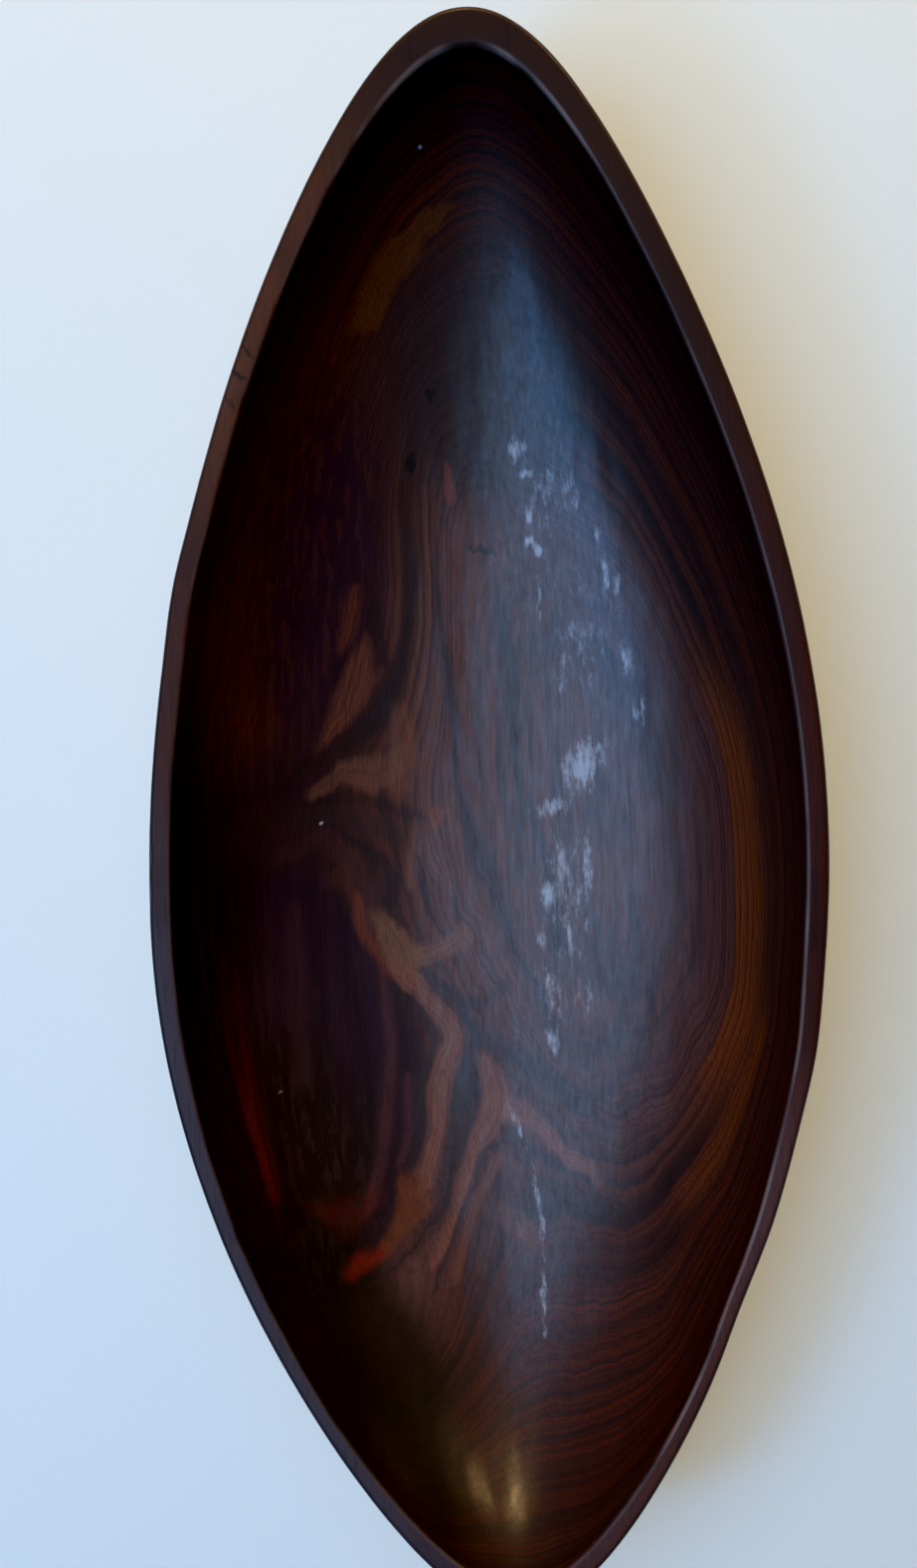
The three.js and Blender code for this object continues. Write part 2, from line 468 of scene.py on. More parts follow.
tones = {
    "black": (0.0013, 0.0006, 0.0009),
    "dark": (0.0075, 0.0026, 0.0034),
    "dusk": (0.011, 0.0055, 0.0066),
    "wine": (0.0066, 0.0013, 0.008),
    "ember": (0.0038, 0.0005, 0.001),
    "tan": (0.082, 0.031, 0.019),
    "amber": (0.118, 0.036, 0.015),
    "rust": (0.1, 0.022, 0.007),
    "red": (0.075, 0.004, 0.0016),
    "gold": (0.092, 0.018, 0.0012),
    "old gold": (0.048, 0.0125, 0.002),
    "fawn": (0.09, 0.04, 0.02),
    "umber": (0.062, 0.015, 0.003),
    "night": (0.013, 0.0058, 0.0075),
    "mauve": (0.046, 0.014, 0.017),
    "flame": (0.078, 0.0215, 0.0075),
    "ruby": (0.046, 0.003, 0.0014),
    "ribbon": (0.098, 0.035, 0.021),
    "bloom": (0.21, 0.25, 0.31),
    "rim, left fore": (0.051, 0.015, 0.0045),
    "rim, left middle": (0.032, 0.009, 0.005),
    # partly the rim's own tone, partly a painted reflection: the window's blue-grey sheen on the rim's flat
    "rim, left aft, with painted sheen": (0.031, 0.023, 0.03),
    "rim, right fore": (0.022, 0.0036, 0.0018),
    "rim, right aft": (0.052, 0.022, 0.021),
    "rim, stern": (0.042, 0.014, 0.01),
    "rim, bow": (0.0125, 0.003, 0.0012),
    # painted highlight along the rim's inner edge
    "paintedHighlight": (0.12, 0.08, 0.072),
}

# bands that follow one growth layer, shown on one part of the bowl
bands = {
    "gold, right wall": {
        "tone": "gold", "layer": 20.0, "half": 2.9, "soft": 0.6,
        "at": (74, -30), "reach": (26, 64), "share": 0.7,
    },
    "brown beside the gold": {
        "tone": "umber", "layer": 24.5, "half": 2.8, "soft": 2.2,
        "at": (74, -34), "reach": (28, 70), "share": 0.2,
    },
    "gold, lower right": {
        "tone": "gold", "layer": 26.0, "half": 1.4, "soft": 1.8,
        "at": (66, -92), "reach": (26, 36), "share": 0.5,
    },
    "red streak": {
        "tone": "red", "layer": 25.0, "half": 1.0, "soft": 2.0,
        "at": (-83, -84), "reach": (16, 42), "turn": 10, "share": 0.25,
    },
}

# broad grounds of colour under the figure, seen from above
grounds = {
    "tan floor": {"tone": "tan", "at": (-6, 18), "reach": (22, 88), "turn": 4, "edge": 0.6, "share": 0.6},
    "dark floor by the bow": {
        "tone": "dusk", "at": (2, 138), "reach": (36, 40), "turn": 4, "edge": 0.7, "share": 0.85,
    },
    "left floor": {
        "tone": "wine", "at": (-50, 72), "reach": (20, 62), "turn": -8, "edge": 0.7, "share": 0.88,
    },
    "left shoulder": {"tone": "wine", "at": (-68, -4), "reach": (22, 26), "edge": 0.7, "share": 0.75},
    "left eye": {"tone": "wine", "at": (-64, -82), "reach": (42, 70), "turn": 10, "edge": 0.3, "share": 0.94},
    "low in the left eye": {
        "tone": "ember", "at": (-66, -110), "reach": (30, 40), "turn": 20, "edge": 0.8, "share": 0.94,
    },
}

# patches of the figure, and on the left wall two of painted shade. Some of their places came as the strokes'
# did.
patches = {
    # painted shade: the left wall near the rim darkened to black, where it faces away from the light
    "left wall": {"tone": "black", "at": (-105, -28), "reach": (29, 78), "edge": 0.8, "share": 0.9},
    # painted shade: the lower left wall darkened to near black, where it faces away from the light
    "lower left wall": {
        "tone": "black", "at": (-72, -166), "reach": (26, 54), "turn": 33, "edge": 0.7, "share": 0.7,
    },
    "knot": {"tone": "black", "at": (-20, 110), "reach": (1.6, 2.8), "edge": 0.5, "share": 0.9},
    "small knot": {"tone": "black", "at": (-13, 132), "reach": (1.4, 1.8), "edge": 0.5, "share": 0.8},
    "orange spot": {"tone": "rust", "at": (-7.9, 104), "reach": (1.8, 7.5), "edge": 0.7, "share": 0.5},
    "red knot": {
        "tone": "rust", "at": (-15.4, -3.1), "reach": (3.0, 2.4), "turn": 30, "edge": 0.7, "share": 0.6,
    },
    "dash": {"tone": "black", "at": (2.1, 84.3), "reach": (5, 0.9), "turn": -4, "edge": 0.5, "share": 0.75},
}

# Strokes of the figure, and one of painted shade, in the order in which they cover each other. Each
# runs along the keel, or across it where "run" is 0, through the places of its path, in millimetres.
# The third number is half its width there. "lines" is how strongly fine grain shows along it.
# The places were picked by eye as pixels, turned into millimetres by another script, and then in
# part moved by hand.
# So this list wasn't made by hand alone.
strokes = {
    "rim of the left eye": {
        "tone": "mauve", "share": 0.2, "soft": 3.0, "run": 0,
        "path": ((-66, -14, 2), (-53, -9, 3.2), (-43, -17, 3.2), (-38.5, -28, 3)),
    },
    "dark floor, left": {
        "tone": "black", "share": 0.45, "soft": 5.4, "run": 0,
        "path": ((-78, 4, 3), (-66, 8, 4), (-58, 14, 3)),
    },
    # painted shade: the stern's left side darkened to near black, where it faces away from the light
    "painted shade, left of the stern": {
        "tone": "black", "share": 0.9, "soft": 9.0, "lines": 0.0,
        "path": ((-58, -126, 6), (-48, -145, 11), (-36, -172, 17), (-27, -195, 12), (-20, -214, 6)),
    },
    "haze over the left eye": {
        "tone": "dusk", "share": 0.55, "soft": 2.7, "run": 0,
        "path": ((-60, -2, 2.5), (-47, -1, 3.8), (-35, -4, 4.2), (-28, -8, 2.9)),
    },
    "ring over the left eye": {
        "tone": "dark", "share": 0.65, "soft": 1.9, "run": 0,
        "path": ((-74, -6, 2.2), (-63, 2, 2.2), (-50, 4, 1.7), (-36, 4, 1.6), (-27, -1, 2.3),
                 (-20, -3.3, 1.3)),
    },
    "pool in the ring": {
        "tone": "dark", "share": 0.85, "soft": 1.9,
        "path": ((-43, -8, 1.8), (-37, -13, 2.6), (-32, -20, 3.3), (-31, -26, 3.1), (-32, -31, 1.9)),
    },
    "flame": {
        "tone": "amber", "share": 0.42, "soft": 2.4,
        "path": ((-37, 55, 1.6), (-39, 47, 4), (-41, 39, 5.2), (-45, 30, 3.4), (-50, 23, 1.8)),
    },
    "tip of the flame": {
        "tone": "rust", "share": 0.45, "soft": 1.9, "path": ((-39, 72, 1.2), (-41, 61, 2), (-44, 53, 1.4)),
    },
    "triangle, right": {
        "tone": "tan", "share": 0.6, "soft": 2.2, "path": ((-26, 33, 2.4), (-25, 22, 4.4), (-27, 7, 4)),
    },
    "triangle, left": {
        "tone": "tan", "share": 0.65, "soft": 1.9, "run": 0,
        "path": ((-55, 7, 1.8), (-45, 12, 3.4), (-37, 12, 5), (-28, 16, 5)),
    },
    "line beside the flame": {
        "tone": "dark", "share": 0.85, "soft": 1.6,
        "path": ((-18.8, 106, 0.6), (-18.7, 86, 0.8), (-22, 64, 1), (-26, 46, 1.5),
                 (-31, 34, 2.8), (-38, 26, 3.2), (-50, 18, 2), (-60, 11, 1.2)),
    },
    "shadow of the flame": {
        "tone": "dark", "share": 0.8, "soft": 1.8, "path": ((-35, 78, 1), (-33, 61, 2.6), (-31, 47, 2.2)),
    },
    "light tongue": {
        "tone": "tan", "share": 0.6, "soft": 1.6, "path": ((-23, -8, 1.9), (-24, -16, 2.3), (-25, -25, 1.6)),
    },
    "left line of the floor": {
        "tone": "night", "share": 0.85, "soft": 1.5,
        "path": ((-9.2, 100, 0.7), (-13, 80, 1), (-12.4, 58, 1.5), (-9.6, 30, 2.1), (-9, 10, 1.2),
                 (-4, -9, 2.4), (1, -24, 3.3), (11, -52, 1.8), (20, -73, 1.9)),
    },
    "right line of the floor": {
        "tone": "night", "share": 0.8, "soft": 1.8,
        "path": ((6, 74, 1), (8.5, 54, 3), (10, 28, 2.2), (12, 4, 1.7),
                 (18, -14, 2.2), (20.5, -33, 2.3), (22, -47, 2.6)),
    },
    "fork, left": {
        "tone": "ember", "share": 0.8, "soft": 0.8,
        "path": ((-22.3, -16, 0.5), (-20, -26, 0.7), (-19.7, -34, 0.6)),
    },
    "fork, right": {
        "tone": "ember", "share": 0.8, "soft": 0.8, "path": ((-11.5, -29.4, 0.5), (-9.8, -37.2, 0.6)),
    },
    "stripe beside the V": {
        "tone": "rust", "share": 0.55, "soft": 1.5,
        "path": ((-42, -28, 1.3), (-40, -40, 1.9), (-33, -53, 1.3)),
    },
    "eye, dark stripe": {
        "tone": "black", "share": 0.55, "soft": 2.4,
        "path": ((-48, -27, 1.6), (-44, -60, 1.9), (-40, -90, 1.9), (-43, -110, 1.9)),
    },
    "eye, middle stripe": {
        "tone": "black", "share": 0.45, "soft": 3.0,
        "path": ((-57, -22, 1.4), (-55, -60, 2.2), (-52, -100, 1.8)),
    },
    "eye, left stripe": {
        "tone": "mauve", "share": 0.2, "soft": 3.0, "path": ((-62, -30, 2), (-62, -60, 3), (-60, -84, 2)),
    },
    "eye, light stripe": {
        "tone": "mauve", "share": 0.6, "soft": 2.0,
        "path": ((-35, -53, 1.6), (-33, -80, 1.9), (-38, -115, 1.7), (-41, -126, 1.4)),
    },
    "eye, second light stripe": {
        "tone": "mauve", "share": 0.6, "soft": 1.6,
        "path": ((-28, -86, 1.3), (-28, -101, 1.3), (-31, -112, 1.2)),
    },
    "dark edge of the stem": {
        "tone": "night", "share": 0.7, "soft": 1.6,
        "path": ((-31, -55, 1.6), (-26, -74, 1.9), (-24, -96, 1.8), (-26, -115, 1.9)),
    },
    "V, left arm": {
        "tone": "fawn", "share": 0.85, "soft": 2.0,
        "path": ((-34, -36, 3.2), (-29.5, -44, 5.4), (-27, -52, 4.2)),
    },
    "V, right arm": {
        "tone": "fawn", "share": 0.7, "soft": 2.0, "run": 0,
        "path": ((-25, -48, 3.2), (-17, -46, 2.6), (-10, -43, 3.8)),
    },
    "stem": {
        "tone": "ribbon", "share": 0.85, "soft": 1.6,
        "path": ((-28, -51, 4), (-23, -59, 3), (-17, -65, 3.2), (-12, -73, 4.4),
                 (-17, -86, 4), (-19, -104, 3), (-24, -120, 3)),
    },
    "orange": {
        "tone": "flame", "share": 0.74, "lines": 0.25, "soft": 1.6,
        "path": ((-28, -118, 3.6), (-27, -125, 5.6), (-31, -132, 3.4), (-37, -140, 1.8)),
    },
    "red glow": {
        "tone": "ruby", "share": 0.45, "soft": 4.1, "run": 0,
        "path": ((-56, -124, 2.5), (-48, -127, 4.7), (-41, -124, 3.5)),
    },
    "red foot": {
        "tone": "red", "share": 0.95, "lines": 0.1, "soft": 2.4, "run": 0,
        "path": ((-46, -142, 2.8), (-38, -140, 1.8)),
    },
    "red streak": {
        "tone": "red", "share": 0.42, "soft": 2.2,
        "path": ((-79.5, -50, 0.4), (-77.5, -76, 1), (-74, -99, 1.5), (-69, -118, 1)),
    },
    "pool under the V": {
        "tone": "night", "share": 0.9, "soft": 1.4,
        "path": ((-21, -52.5, 1.2), (-16, -56, 1.5), (-10.5, -61, 2), (-8, -70, 2.2)),
    },
    "pool round the island": {
        "tone": "night", "share": 0.65, "soft": 1.6, "run": 0,
        "path": ((-10, -62.5, 1.6), (-2, -63, 1.8), (4, -59, 2)),
    },
    "river to the stern": {
        "tone": "night", "share": 0.9, "soft": 2.0, "path": ((-6, -73, 2.9), (-9, -91, 4.5), (-13, -108, 3.4),
                 (-18, -127, 2.4), (-28, -140, 1.6), (-38, -147, 1)),
    },
    "river to the right": {
        "tone": "night", "share": 0.75, "soft": 2.3, "run": 0,
        "path": ((-6, -73, 2.9), (9, -82, 3), (18, -89, 3.8), (34, -101, 2)),
    },
    "inner bend of the right eye": {
        "tone": "night", "share": 0.6, "soft": 2.0,
        "path": ((47, -30, 0.8), (46, -50, 1.3), (43, -68, 1.9), (40, -75, 1.8)),
    },
    "foot of the inner bend": {
        "tone": "night", "share": 0.6, "soft": 2.0, "run": 0,
        "path": ((24, -77, 1.8), (32, -78.5, 2.2), (40, -76, 1.9)),
    },
    "outer bend of the right eye": {
        "tone": "night", "share": 0.6, "soft": 2.0,
        "path": ((53, -42, 0.8), (49, -74, 1.5), (42, -87, 1.8), (26, -96, 1.8)),
    },
    "light between the bends": {
        "tone": "ribbon", "share": 0.35, "soft": 2.7, "run": 0,
        "path": ((19, -58, 2.3), (24, -64, 3.9), (31, -67, 3.8)),
    },
    "chevron, left": {
        "tone": "ribbon", "share": 0.85, "soft": 1.8,
        "path": ((-3, -82, 2.2), (0.5, -94, 4.4), (-4, -105, 3.2),
                 (-9, -115, 2.8), (-14, -129, 2.4), (-20, -143, 1.8)),
    },
    "chevron, right": {
        "tone": "ribbon", "share": 0.7, "soft": 1.8, "run": 0,
        "path": ((2, -96, 3.2), (14, -102, 2.8), (21, -111, 2.7), (31, -118, 2)),
    },
    "inner chevron, left": {
        "tone": "night", "share": 0.8, "soft": 1.2,
        "path": ((5, -104, 0.8), (-4, -112, 1.1), (-10, -125, 1.2), (-21, -152, 0.9)),
    },
    "inner chevron, right": {
        "tone": "night", "share": 0.7, "soft": 1.5, "run": 0,
        "path": ((6, -105, 1.2), (16, -113, 1.6), (29, -120, 1.2)),
    },
    "second chevron": {
        "tone": "ribbon", "share": 0.5, "soft": 1.6,
        "path": ((0, -113, 1.6), (-6, -122, 1.6), (-15, -150, 1.3)),
    },
    "third chevron": {
        "tone": "night", "share": 0.5, "soft": 2.0, "path": ((2, -119, 2), (-6, -135, 2.1), (-11, -160, 1.6)),
    },
    "light inside the chevrons": {
        "tone": "ribbon", "share": 0.4, "soft": 2.7, "run": 0, "path": ((2, -131, 3.5), (9, -136, 4.1)),
    },
    "gold by the bow": {
        "tone": "old gold", "share": 0.8, "soft": 1.4,
        "path": ((-8, 186, 2.4), (-18, 177, 4), (-26, 165, 5), (-33, 151, 3)),
    },
}

# lines and patches of grain on the flat of the rim
rimMarks = {
    "joint of the grain, bow": {
        "tone": "black", "share": 0.6, "soft": 0.6, "path": ((-15, 231, 0.3), (-14.9, 220, 0.4)),
    },
    "dark grain, bow": {
        "tone": "black", "share": 0.7, "soft": 0.6, "path": ((12.4, 232, 0.4), (14, 223, 0.7)),
    },
    "light grain, left": {
        "tone": "tan", "share": 0.4, "soft": 2.0, "path": ((-79, 112, 1.2), (-70, 131, 1.6)),
    },
    "first wave, left": {
        "tone": "black", "share": 0.9, "soft": 0.7, "path": ((-70.5, 142, 0.3), (-65.6, 136.3, 0.5)),
    },
    "second wave, left": {
        "tone": "black", "share": 0.9, "soft": 0.7, "path": ((-72.8, 135, 0.3), (-67.4, 128.7, 0.5)),
    },
    "third wave, left": {
        "tone": "black", "share": 0.85, "soft": 0.7, "path": ((-74.3, 126, 0.4), (-69.8, 120.7, 0.3)),
    },
    "dark patch, right": {
        "tone": "black", "share": 0.5, "soft": 1.6, "path": ((88.8, 55, 1), (92.1, 33, 1.6)),
    },
    "dark patch, right aft": {
        "tone": "black", "share": 0.5, "soft": 1.6, "path": ((96.3, -23, 1), (95.5, -46, 1.4)),
    },
}

# Worn places where the oil has dried white: position, reach, turn and how thick. The last three are
# single specks. Some of these places came as the strokes' did.
scuffs = (
    ((32, 12), (5.4, 9), -20, 1.15),
    ((37, 17), (5, 2.4), 30, 0.75),
    ((21.5, -1), (6, 3), 12, 0.9),
    ((24.5, -18), (2.2, 8.5), 0, 0.8),
    ((32.4, -23), (1.7, 13), 0, 0.9),
    ((19.5, -29), (2.3, 6), 0, 1.05),
    ((17, -43), (1.4, 4.5), 0, 0.85),
    ((26, -42), (1.2, 7), 0, 0.7),
    ((19.5, -62), (5, 11), 10, 0.55),
    ((31, -62), (5, 6.5), 0, 0.42),
    ((19, -76), (2.4, 4.5), 0, 0.7),
    ((17.5, 93), (1.5, 3.4), 0, 0.9),
    ((17, 85), (2, 1.8), 0, 1.1),
    ((20, 82), (1.9, 3.2), 15, 1.25),
    ((14, 113), (3.4, 5.5), 0, 0.62),
    ((17, 106), (3, 1.9), 0, 0.8),
    ((29.5, 102), (2.4, 4), 0, 0.75),
    ((32, 97), (1.6, 3), 0, 0.7),
    ((39, 84), (1.3, 4.5), 8, 0.75),
    ((41, 74), (1.3, 7.5), 6, 0.7),
    ((44.6, 68), (1.3, 12), 6, 0.7),
    ((47, 46), (2.2, 6), 6, 0.8),
    ((19.5, 66), (1.2, 8), 0, 0.6),
    ((26.5, 43), (3.4, 10), 0, 0.5),
    ((51, 29), (2.4, 5.5), 0, 0.6),
    ((26, -27), (9, 24), 0, 0.5),
    ((22, 98), (10, 18), 0, 0.32),
    ((33, 50), (14, 36), 0, 0.27),
    ((7.4, -104), (1.2, 11), 20, 0.75),
    ((12.6, -126), (1.1, 12), 8, 0.75),
    ((13, -152), (1.1, 15), 0, 0.72),
    ((-52.7, -3.4), (0.8, 0.5), 20, 1.1),
    ((-67.4, -87), (0.9, 0.6), 20, 0.9),
    ((-13.3, 202.2), (0.7, 0.6), 20, 0.9),
)

# solid noise: size across and along the keel, detail, roughness and offset
grains = {
    "push": (7.0, 20.0, 3.0, 0.6, 120.0),  # makes the patches' edges ragged
    "fibre": (0.55, 14.0, 3.0, 0.6, 70.0),
    "cloud": (16.0, 44.0, 2.0, 0.5, 50.0),
    "polish": (1.4, 10.0, 4.0, 0.65, 160.0),
    "flow": (2.4, 70.0, 3.0, 0.6, 240.0),
    "speckle": (2.0, 6.5, 5.0, 0.68, 200.0),
}

# noise by growth layer: spacing, detail, roughness and seed
growthLines = {
    "slow": (6.0, 1.0, 0.5, 3.0),
    "fine": (1.9, 2.0, 0.6, 40.0),
    "hair": (0.55, 2.0, 0.6, 90.0),
}

# regions where the wood or its oil differs, seen from above
regions = {
    "eye": {"at": (-64, -82), "reach": (40, 66), "turn": 10, "edge": 0.4},
    "plain": {"at": (-10, 140), "reach": (30, 36), "turn": 8, "edge": 0.7},
    "leftFloor": {"at": (-50, 72), "reach": (22, 64), "turn": -8, "edge": 0.7},
    "streaks": {"at": (-60, 78), "reach": (24, 74), "turn": -14, "edge": 0.5},
}

# how strongly each layer of the figure is laid over the one below
strengths = {"slow": 0.6, "fine": 0.68, "hair": 0.55, "streaks": 0.18, "fibre": 0.4, "bloom": 0.82}

# the oil: the least of it, what a polished spot adds, and how much less there is in some places
oil = {
    "least": 0.1, "polished": 0.72, "roughness": 0.29,
    "lessOnRim": 0.97, "lessUpTheWall": 0.45, "lessInEye": 0.6,
    "lessOnLeftFloor": 0.5, "lessByStern": 0.95,
    "dryStern": {"at": (-36, -158), "reach": (24, 46), "turn": 28},
}

# the bare wood under the oil
surface = {
    "roughness": 0.5, "clouded": 0.1, "bloomed": 0.3,
    "specular": 0.08, "pores": 0.35, "poreDepth": 0.0004,
}

# what all strokes share: their ends, their fine grain and how strongly it shows
brush = {
    "endHalf": 0.6,  # half width beyond an end, as a share of the last one
    "leastBreadth": 0.001,
    "grain": {"Scale": 0.75, "Detail": 2.0, "Roughness": 0.6},
    "lines": 0.45,
}


def strokeTree(name, mark):
    # a group that gives 1 on a stroke and 0 off it. A ramp over the stroke's run holds its middle,
    # its half width and its strength, which dies away beyond both ends.
    run = mark.get("run", 1)
    path = sorted(mark["path"], key=lambda spot: spot[run])
    spots = []
    for i, spot in enumerate(path):
        before, after = path[max(i - 1, 0)], path[min(i + 1, len(path) - 1)]
        slope = (after[1 - run] - before[1 - run]) / (after[run] - before[run])
        spots.append((spot[run], spot[1 - run], spot[2] * math.hypot(1.0, slope), 1.0))
    for end, beside, outwards in ((0, 1, -1), (-1, -2, 1)):
        place, side, half, _ = spots[end]
        slope = (side - spots[beside][1]) / abs(place - spots[beside][0])
        cap = path[end][2] + mark["soft"]
        spill = (place + outwards * cap, side + slope * cap, half * brush["endHalf"], 0.0)
        spots = [spill, *spots] if outwards < 0 else [*spots, spill]
    first, last = spots[0][0], spots[-1][0]
    least = min(spot[1] for spot in spots)
    breadth = max(spot[1] for spot in spots) - least + brush["leastBreadth"]
    widest = max(spot[2] for spot in spots)
    stops = [
        ((place - first) / (last - first), ((side - least) / breadth, half / widest, strength))
        for place, side, half, strength in spots
    ]
    tree = bpy.data.node_groups.new(name, "ShaderNodeTree")
    for label in ("Ahead", "Aside"):
        tree.interface.new_socket(name=label, in_out="INPUT", socket_type="NodeSocketFloat")
    tree.interface.new_socket(name="Share", in_out="OUTPUT", socket_type="NodeSocketFloat")
    given = tree.nodes.new("NodeGroupInput")
    ahead, aside = (Wire(tree, given.outputs[label]) for label in ("Ahead", "Aside"))
    place = ahead.math("MULTIPLY_ADD", 1 / (last - first), -first / (last - first))
    ramp = place.node("ShaderNodeValToRGB", {"stops": stops, "between": "CARDINAL"}, {"Fac": place})
    split = tree.nodes.new("ShaderNodeSeparateColor")
    tree.links.new(ramp.socket, split.inputs[0])
    middle, half, strength = (Wire(tree, out) for out in split.outputs)
    off = middle.math("MULTIPLY_ADD", breadth, least) - aside
    lines = off.node("ShaderNodeTexNoise", {"noise_dimensions": "1D"}, {"W": off + first, **brush["grain"]})
    past = half.math("MULTIPLY_ADD", -widest, off.math("ABSOLUTE"))
    share = fade(past, mark["soft"], -mark["soft"]) * strength
    share = share * (1 - fade(lines, 0.48, 0.62) * mark.get("lines", brush["lines"]))
    end = tree.nodes.new("NodeGroupOutput")
    tree.links.new(share.socket, end.inputs["Share"])
    return tree


def oiledWood():
    wood = bpy.data.materials.new("Oiled wood")
    wood.use_nodes = True
    tree = wood.node_tree
    tree.nodes.clear()
    start = Wire(tree)
    metres = start.node("ShaderNodeTexCoord", output="Object")
    place = metres.node("ShaderNodeVectorMath", {"operation": "SCALE"}, {0: metres, "Scale": 1000.0})
    x, y, z = place.parts()

    def mapped(source, at, reach, turn):
        return source.node(
            "ShaderNodeMapping",
            {"vector_type": "TEXTURE"},
            {
                "Vector": source,
                "Location": (at[0], at[1], 0.0),
                "Rotation": (0.0, 0.0, math.radians(turn)),
                "Scale": (reach[0], reach[1], far),
            },
        )

    def patch(at, reach, turn=0.0):
        # a soft spot in plan: 1 in its middle, fading out over its reach
        local = mapped(place, at, reach, turn)
        return (local.vector("DOT_PRODUCT", local) * -1.0).math("EXPONENT")

    def grain(across, along, detail=2.0, roughness=0.5, offset=0.0, output=0):
        # solid noise, drawn out along the keel, from 0 to 1
        local = place.node(
            "ShaderNodeMapping",
            {},
            {
                "Vector": place,
                "Location": (offset, offset * 0.7, offset * 1.3),
                "Scale": (1 / across, 1 / along, 1 / across),
            },
        )
        noise = {"Vector": local, "Scale": 1.0, "Detail": detail, "Roughness": roughness}
        return local.node("ShaderNodeTexNoise", {}, noise, output)

    layer = z + x * growth["lean"] + y * growth["rake"] + x * y * growth["twist"]
    for dip in growth["dips"].values():
        layer = layer - patch(dip["at"], dip["reach"], dip.get("turn", 0)) * float(dip["depth"])
    for index, (across, along, height) in enumerate(growth["wander"]):
        layer = layer + (grain(across, along, offset=11.0 * index) - 0.5) * (2.0 * height)
    curled = patch(**growth["curled"]) + patch(**growth["halfCurled"]) * 0.5
    for index, (across, along, height) in enumerate(growth["curl"]):
        layer = layer + (grain(across, along, offset=31.0 + 11.0 * index) - 0.5) * curled * (2.0 * height)

    # the same place pushed about a little, so that patches have ragged, grainy edges
    push = grain(*grains["push"], output="Color").vector("SUBTRACT", (0.5, 0.5, 0.5))
    ragged = place.vector("ADD", push.vector("MULTIPLY", (7.0, 16.0, 0.0)))

    def island(at, reach, turn, edge):
        # 1 inside an oval, 0 outside it
        local = mapped(ragged, at, reach, turn)
        return fade(local.vector("DOT_PRODUCT", local), 1.0 + edge, 1.0 - edge)

    flat = place.vector("MULTIPLY", (1.0, 1.0, 0.0)).vector("ADD", push.vector("MULTIPLY", (3.2, 8.0, 0.0)))
    flatX, flatY, _ = flat.parts()

    def brushed(colour, name, mark):
        ahead, aside = (flatY, flatX) if mark.get("run", 1) == 1 else (flatX, flatY)
        group = {"node_tree": strokeTree(name, mark)}
        drawn = start.node("ShaderNodeGroup", group, {"Ahead": ahead, "Aside": aside})
        return mix(drawn * mark["share"], colour, tones[mark["tone"]])

    def rings(spacing, detail, roughness, seed):
        # noise that only changes from one growth layer to the next
        return layer.node(
            "ShaderNodeTexNoise",
            {"noise_dimensions": "1D"},
            {"W": layer / spacing + seed, "Scale": 1.0, "Detail": detail, "Roughness": roughness},
        )

    def band(middle, half, soft):
        # 1 inside one growth layer and 0 outside it
        return 1 - fade((layer - middle).math("ABSOLUTE"), half, half + soft)

    def colourOf(value):
        return value if isinstance(value, Wire) else (*value, 1.0)

    def mix(share, under, over):
        return start.node(
            "ShaderNodeMix", {"data_type": "RGBA"}, {0: share, 6: colourOf(under), 7: colourOf(over)}, 2
        )

    slow, fine, hair = (rings(*line) for line in growthLines.values())
    fibre, cloud, polish = (grain(*grains[name]) for name in ("fibre", "cloud", "polish"))

    def painted(colour, spot):
        share = island(spot["at"], spot["reach"], spot.get("turn", 0), spot["edge"]) * spot["share"]
        return mix(share, colour, tones[spot["tone"]])

    colour = start.node("ShaderNodeValToRGB", {"stops": heartwood}, {"Fac": layer / 100.0})
    for spot in grounds.values():
        colour = painted(colour, spot)
    onWall = fade(layer, 11.0, 24.0)
    inEye = island(**regions["eye"])
    plain = island(**regions["plain"])
    leftWall = fade(x, -20.0, -60.0)
    leftFloor = island(**regions["leftFloor"])
    swirl = curled.math("MINIMUM", 1.0)
    lined = (0.35 + onWall * 0.65) * (1 - inEye * 0.6) * (1 - plain * 0.6)
    lined = lined * (1 - leftWall * 0.35) * (1 - swirl * 0.55)
    lined = lined * (1 + fade(x, 25.0, 50.0) * 0.2) * (1 - leftFloor * 0.4)
    colour = mix(fade(slow, 0.44, 0.64) * strengths["slow"] * lined, colour, tones["dark"])
    colour = mix(fade(fine, 0.46, 0.57) * strengths["fine"] * lined, colour, tones["dark"])
    for strip in bands.values():
        share = band(strip["layer"], strip["half"], strip["soft"]) * fade(
            patch(strip["at"], strip["reach"], strip.get("turn", 0)), 0.12, 0.6
        )
        colour = mix(share * strip["share"], colour, tones[strip["tone"]])
    hairShare = fade(hair, 0.45, 0.6) * (1 - inEye * 0.5) * (0.15 + fade(layer, 9.0, 15.0) * 0.85)
    colour = mix(hairShare * strengths["hair"], colour, tones["dark"])
    for name, mark in strokes.items():
        colour = brushed(colour, name, mark)
    for spot in patches.values():
        colour = painted(colour, spot)
    flow = grain(*grains["flow"])
    flowing = fade(flow, 0.46, 0.62) * (inEye * 0.35 + fade(layer, 15.0, 9.0) * fade(y, -125.0, -100.0) * 0.6)
    colour = mix(flowing, colour, tones["night"])
    streaks = fade(flow, 0.5, 0.62) * island(**regions["streaks"])
    colour = mix(streaks * strengths["streaks"], colour, tones["umber"])
    colour = mix(fade(fibre, 0.47, 0.68) * strengths["fibre"], colour, tones["black"])

    speckle = grain(*grains["speckle"])
    scuffed = None
    for at, reach, turn, thick in scuffs:
        spot = patch(at, reach, turn) * thick
        scuffed = spot if scuffed is None else scuffed.math("MAXIMUM", spot)
    rimPlace = start.node("ShaderNodeAttribute", {"attribute_name": "overRim"}, output="Fac")
    inHollow = fade(rimPlace, 0.85, 1.0)
    bloom = fade(speckle + scuffed * 0.36, 0.58, 0.96) * fade(scuffed, 0.05, 0.3) * inHollow
    colour = mix(bloom * strengths["bloom"], colour, tones["bloom"])

